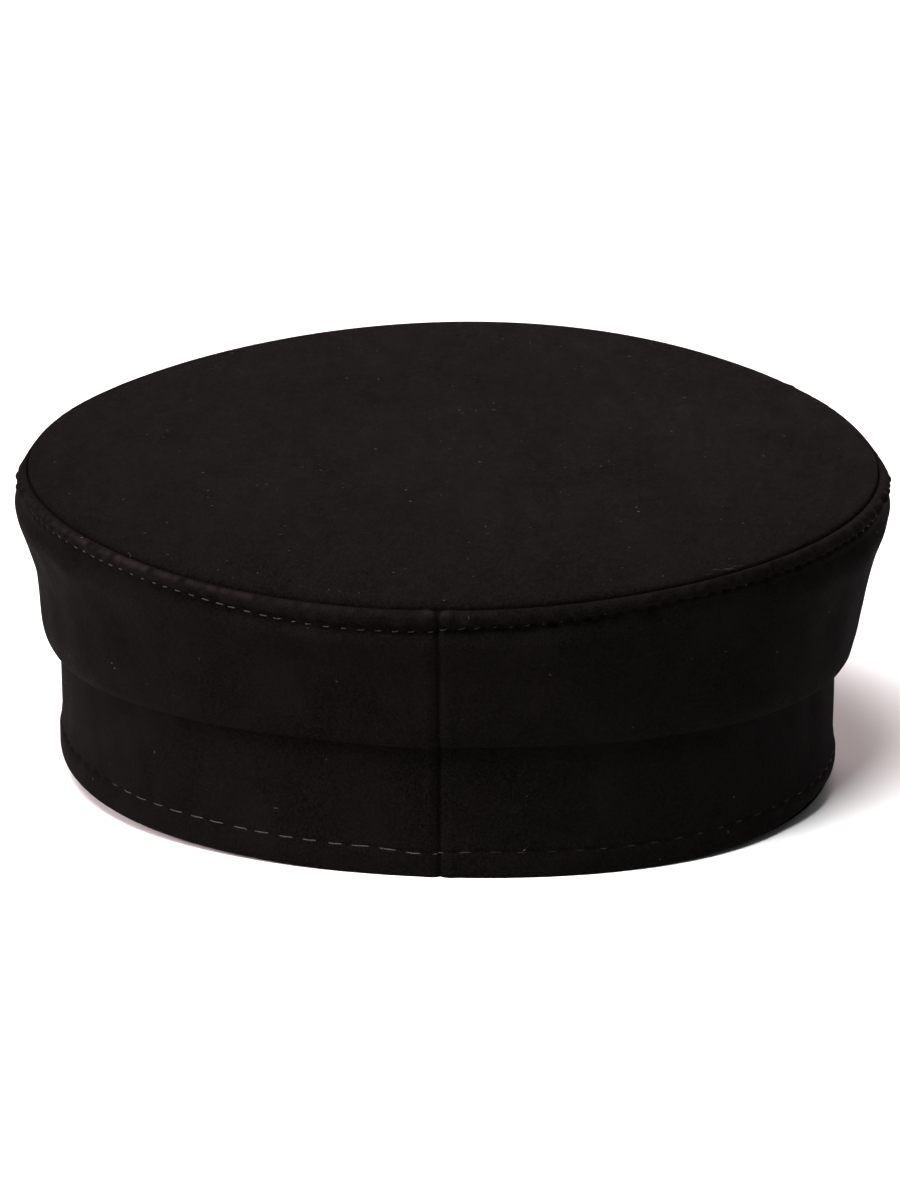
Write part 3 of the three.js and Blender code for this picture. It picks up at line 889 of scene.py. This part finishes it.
def peak(cloth):
    """The peak's cloth. Gives the line of its topstitching, which way that faces, and its stitches."""
    plan = peak_plan()
    stitch_out = np.maximum(plan.depth - PEAK_STITCH_INSET, 0.5)
    grid = peak_grid(plan, stitch_out)
    rows, across = grid.shape[:2]
    faces = quads(rows, across, True, False)[:, ::-1].tolist()
    faces.append([row * across for row in range(rows)][::-1])
    faces.append([row * across + across - 1 for row in range(rows)])
    piece = make_piece("peak_cloth", place(grid.reshape(-1, 3)), faces, cloth)
    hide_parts("peak")
    line = peak_row(plan, stitch_out, 0.0)[plan.depth > PEAK_STITCH_INSET + 2.5]
    line[:, 2] -= PEAK_STITCH_DEPTH
    upward = np.tile([[0.0, 0.0, 1.0]], (len(line), 1))
    return line, upward, *sewn_by_hand(run_length(line)[-1], PEAK_STITCH, 3)


# ---------------------------------------------------------------- fluff


def outer_spots(piece, count, rng):
    """Places on the outside of a piece, each with the cloth's normal there."""
    faces = piece.data.polygons
    centres, normals, areas = np.empty(len(faces) * 3), np.empty(len(faces) * 3), np.empty(len(faces))
    faces.foreach_get("center", centres)
    faces.foreach_get("normal", normals)
    faces.foreach_get("area", areas)
    centres, normals = centres.reshape(-1, 3), normals.reshape(-1, 3)
    within = np.array([0, ORIGIN[1], CAD_BOX[1][2] / 2])
    outside = (((centres - within) * normals).sum(axis=1) > 0) & (normals[:, 2] > -0.5)
    areas *= outside & (centres[:, 2] > FLUFF_CLEAR_OF_FLOOR * MM)
    chosen = rng.choice(len(faces), count, p=areas / areas.sum())
    return list(zip(centres[chosen], normals[chosen]))


def tuft_spots(rng):
    """Places in one small tuft of lint, caught on the crown beside its seam."""
    angle = math.radians(TUFT_DEGREES) + rng.normal(0, TUFT_SPREAD, TUFT_COUNT)
    inset = TUFT_INSET + np.abs(rng.normal(0, TUFT_DEPTH, TUFT_COUNT))
    points = on_dome(angle, inset)
    points[:, 2] += rng.uniform(0, TUFT_RISE, TUFT_COUNT)
    return place(points)


def fibre(spot, up, longer, thinner, rng):
    """Points round one short curled fibre that lies on the cloth."""
    share = np.linspace(-0.5, 0.5, FLUFF_RINGS)
    turn = np.arange(FLUFF_SIDES) * 2 * math.pi / FLUFF_SIDES
    ahead = np.cross(up, rng.normal(size=3))
    ahead /= np.linalg.norm(ahead)
    across = np.cross(up, ahead)
    length = rng.uniform(*FLUFF_LENGTHS) * longer * MM
    radius = rng.uniform(*FLUFF_THICKNESS) * thinner * MM / 2
    curl = rng.uniform(-FLUFF_CURL, FLUFF_CURL) * length * np.cos(share * math.pi)
    middle = spot + np.outer(share * length, ahead) + np.outer(curl, across) + up * radius * 0.8
    around = np.outer(np.cos(turn), across) + np.outer(np.sin(turn), up)
    narrowed = radius * np.sqrt(1 - 0.9 * (2 * share) ** 4)
    return middle[:, None] + around * narrowed[:, None, None]


def fluff(material):
    """Short curled fibres caught in the nap, as one mesh of thin tubes."""
    rng = np.random.default_rng(FLUFF_SEED)
    upward = np.array([0, 0, 1.0])
    fibres = []
    for name, count in FLUFF_COUNTS.items():
        spots = outer_spots(bpy.data.objects[name], count, rng)
        tuft = tuft_spots(rng) if name == "crown_top_cloth" else []
        fibres += [fibre(spot, up, 1, 1, rng) for spot, up in spots]
        fibres += [fibre(spot, upward, TUFT_LONGER, TUFT_THINNER, rng) for spot in tuft]
    faces = tube_faces(len(fibres), FLUFF_RINGS, FLUFF_SIDES)
    make_piece("fluff", np.stack(fibres).reshape(-1, 3), faces, material)


# ---------------------------------------------------------------- scene around it


def floor():
    mesh = bpy.data.meshes.new("floor")
    corners = [(-1, -1), (1, -1), (1, 1), (-1, 1)]
    mesh.from_pydata([(x * FLOOR_HALF, y * FLOOR_HALF, 0) for x, y in corners], [], [(0, 1, 2, 3)])
    mesh.materials.append(floor_material())
    made = bpy.data.objects.new("floor", mesh)
    bpy.context.scene.collection.objects.link(made)


def area_light(name, softbox):
    """A square softbox that looks at the cap."""
    light = bpy.data.lights.new(name, "AREA")
    light.size = softbox.size
    light.energy = softbox.power
    light.color = softbox.colour
    lamp = bpy.data.objects.new(name, light)
    a, e = math.radians(softbox.azimuth), math.radians(softbox.elevation)
    back = Vector((math.sin(a) * math.cos(e), -math.cos(a) * math.cos(e), math.sin(e)))
    lamp.location = Vector((0, 0, LIGHT_AIM_HEIGHT)) + back * LIGHT_DISTANCE
    lamp.rotation_mode = "QUATERNION"
    lamp.rotation_quaternion = back.to_track_quat("Z", "Y")
    bpy.context.scene.collection.objects.link(lamp)


def lights():
    world = bpy.data.worlds.new("studio")
    world.use_nodes = True
    background = world.node_tree.nodes["Background"]
    background.inputs["Color"].default_value = (1, 1, 1, 1)
    background.inputs["Strength"].default_value = WORLD_STRENGTH
    bpy.context.scene.world = world
    for name, softbox in LIGHTS.items():
        area_light(name, softbox)
    bpy.context.scene.view_settings.view_transform = "Standard"


def camera():
    """A long lens behind the cap and a little above it."""
    back = np.array([math.sin(CAMERA_YAW), math.cos(CAMERA_YAW), math.tan(CAMERA_RISE)])
    back *= math.cos(CAMERA_RISE)
    right = np.array([-math.cos(CAMERA_YAW), math.sin(CAMERA_YAW), 0])
    up = np.cross(back, right)
    aim = np.array([0, 0, AIM_HEIGHT]) + right * AIM_RIGHT - up * AIM_DOWN
    eye = aim + back * CAMERA_DISTANCE
    data = bpy.data.cameras.new("camera")
    data.sensor_width = CAMERA_SENSOR
    data.lens = CAMERA_LENS
    made = bpy.data.objects.new("camera", data)
    centre = Vector(place(eye))
    rolled = right * math.cos(CAMERA_ROLL) - up * math.sin(CAMERA_ROLL)
    level = np.cross(back, rolled)
    axes = [Vector(place(eye + axis * 100)) - centre for axis in (rolled, level, back)]
    made.matrix_world = Matrix([axis.normalized() for axis in axes]).transposed().to_4x4()
    made.location = centre
    bpy.context.scene.collection.objects.link(made)
    bpy.context.scene.camera = made


camera()
cloth = cloth_material("napped_cloth", (1, 1, 1), 0.65)
thread = thread_material()
crown_top(cloth_material("brushed_cloth", (1, 0.35, 1), 0.85))
sewn("topstitch_crown", *side_panel(cloth), CROWN_STITCH, thread)
sewn("topstitch_band", *head_band(cloth), BAND_STITCH, thread)
sewn("topstitch_peak", *peak(cloth), PEAK_STITCH, thread, closed=False)
fluff(fluff_material())
floor()
lights()
